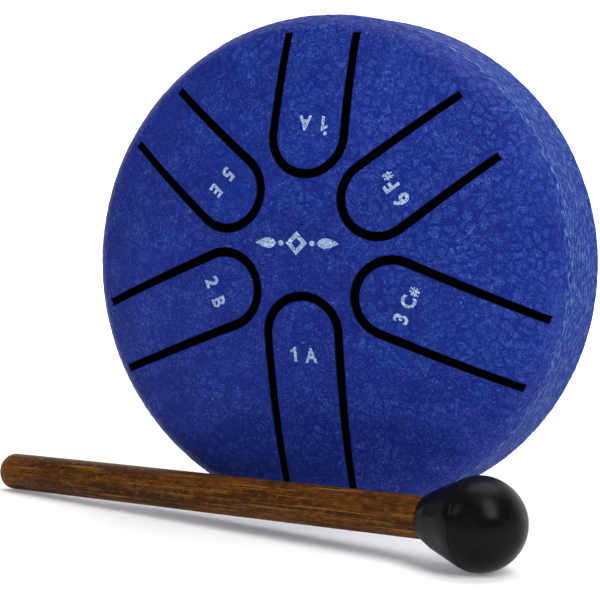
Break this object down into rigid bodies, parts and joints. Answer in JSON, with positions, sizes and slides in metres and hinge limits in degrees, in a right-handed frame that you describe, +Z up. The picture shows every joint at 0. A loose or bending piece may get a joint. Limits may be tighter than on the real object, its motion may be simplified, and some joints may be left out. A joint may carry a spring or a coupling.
{
  "type": "steel tongue drum",
  "caption": "Small steel tongue drum standing on its rim, domed face with U-cut tongues, and a rubber-headed wooden beater in front.",
  "frame": {"origin": "on the floor, under the middle of the drum and its beater", "axes": "+Z up; the playing face looks along -Y and the feet look along +Y; +X to the right as the face is looked at"},
  "size_m": [0.0998, 0.0628, 0.0769],
  "materials": {
    "powder_coat": "deep blue wrinkle powder coat on steel",
    "foot_rubber": "matt black rubber",
    "mallet_rubber": "satin black rubber",
    "wood": "brown stained bamboo, long golden fibres"
  },
  "bodies": {
    "drum": {"top_shell": "powder_coat", "bottom_shell": "powder_coat", "foot_a": "foot_rubber", "foot_b": "foot_rubber", "foot_c": "foot_rubber"},
    "tongue_a_low": {"tongue_a_low": "powder_coat"},
    "tongue_b": {"tongue_b": "powder_coat"},
    "tongue_c_sharp": {"tongue_c_sharp": "powder_coat"},
    "tongue_e": {"tongue_e": "powder_coat"},
    "tongue_f_sharp": {"tongue_f_sharp": "powder_coat"},
    "tongue_a_high": {"tongue_a_high": "powder_coat"},
    "mallet": {"mallet_shaft": "wood", "mallet_head": "mallet_rubber"}
  },
  "joints": [
    {"name": "tongue_a_low_flex", "type": "hinge", "parent": "drum", "child": "tongue_a_low", "pos_m": [0.01062, 0.00105, 0.00547], "axis": [-0.9994, 0, -0.0349], "range_deg": [-1, 1], "stiffness_Nm_per_rad": 15},
    {"name": "tongue_b_flex", "type": "hinge", "parent": "drum", "child": "tongue_b", "pos_m": [-0.02224, 0.00121, 0.02754], "axis": [-0.3649, 0, 0.9311], "range_deg": [-1, 1], "stiffness_Nm_per_rad": 15},
    {"name": "tongue_c_sharp_flex", "type": "hinge", "parent": "drum", "child": "tongue_c_sharp", "pos_m": [0.04266, 0.00203, 0.02692], "axis": [-0.3649, 0, -0.9311], "range_deg": [-1, 1], "stiffness_Nm_per_rad": 15},
    {"name": "tongue_e_flex", "type": "hinge", "parent": "drum", "child": "tongue_e", "pos_m": [-0.01606, 0.00129, 0.06043], "axis": [0.6266, 0, 0.7793], "range_deg": [-1, 1], "stiffness_Nm_per_rad": 15},
    {"name": "tongue_f_sharp_flex", "type": "hinge", "parent": "drum", "child": "tongue_f_sharp", "pos_m": [0.03406, 0.0007, 0.05892], "axis": [0.6101, 0, -0.7923], "range_deg": [-1, 1], "stiffness_Nm_per_rad": 15},
    {"name": "tongue_a_high_flex", "type": "hinge", "parent": "drum", "child": "tongue_a_high", "pos_m": [0.0101, 0.00154, 0.07264], "axis": [0.9998, 0, -0.0209], "range_deg": [-1, 1], "stiffness_Nm_per_rad": 15},
    {"name": "mallet_lift", "type": "slide", "parent": "drum", "child": "mallet", "axis": [0, -0.5, 0.866], "range_m": [0, 0.12]}
  ]
}
